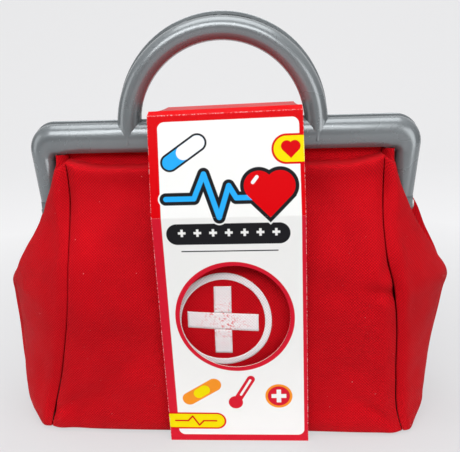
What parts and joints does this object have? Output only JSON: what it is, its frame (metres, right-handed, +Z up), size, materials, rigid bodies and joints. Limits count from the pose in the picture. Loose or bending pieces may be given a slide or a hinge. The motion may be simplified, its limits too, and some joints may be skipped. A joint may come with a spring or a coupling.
{
  "type": "toy doctor bag",
  "caption": "Soft red cloth bag for a child's doctor set, hung in a two-part grey frame with arch handles that swing open, with a card display sleeve round it.",
  "frame": {"origin": "middle of the underside, on the table", "axes": "+Z up, +X to the bag's right, the front faces -Y"},
  "size_m": [0.3012, 0.1086, 0.2655],
  "materials": {
    "frame_plastic": "satin moulded grey",
    "retainer_plastic": "matt",
    "screw_steel": "plated",
    "pin_steel": "plated",
    "bag_cloth": "diagonal weave",
    "print_white": "screen print",
    "base_card": "plain",
    "sleeve_card": "coated print"
  },
  "bodies": {
    "bag": {"base_panel": "bag_cloth", "base_board": "base_card", "front_panel_lower": "bag_cloth", "back_panel_lower": "bag_cloth", "left_gusset_lower": "bag_cloth", "right_gusset_lower": "bag_cloth", "emblem_print": "print_white", "left_hinge_pin": "pin_steel", "right_hinge_pin": "pin_steel", "sleeve_front": "sleeve_card", "sleeve_top": "sleeve_card", "sleeve_back": "sleeve_card", "sleeve_bottom": "sleeve_card"},
    "front_frame": {"front_frame": "frame_plastic", "front_hinge_ears": "frame_plastic", "front_retainer": "retainer_plastic", "front_retainer_screws": "screw_steel", "front_panel_upper": "bag_cloth", "left_gusset_front_upper": "bag_cloth", "right_gusset_front_upper": "bag_cloth"},
    "back_frame": {"back_frame": "frame_plastic", "back_hinge_ears": "frame_plastic", "back_retainer": "retainer_plastic", "back_retainer_screws": "screw_steel", "back_panel_upper": "bag_cloth", "left_gusset_back_upper": "bag_cloth", "right_gusset_back_upper": "bag_cloth"}
  },
  "joints": [
    {"name": "front_frame_hinge", "type": "hinge", "parent": "bag", "child": "front_frame", "pos_m": [0, 0, 0.143], "axis": [1, 0, 0], "range_deg": [0, 40], "deforming": ["front_panel_upper", "left_gusset_front_upper", "right_gusset_front_upper"]},
    {"name": "back_frame_hinge", "type": "hinge", "parent": "bag", "child": "back_frame", "pos_m": [0, 0, 0.143], "axis": [-1, 0, 0], "range_deg": [0, 40], "deforming": ["back_panel_upper", "left_gusset_back_upper", "right_gusset_back_upper"]}
  ]
}
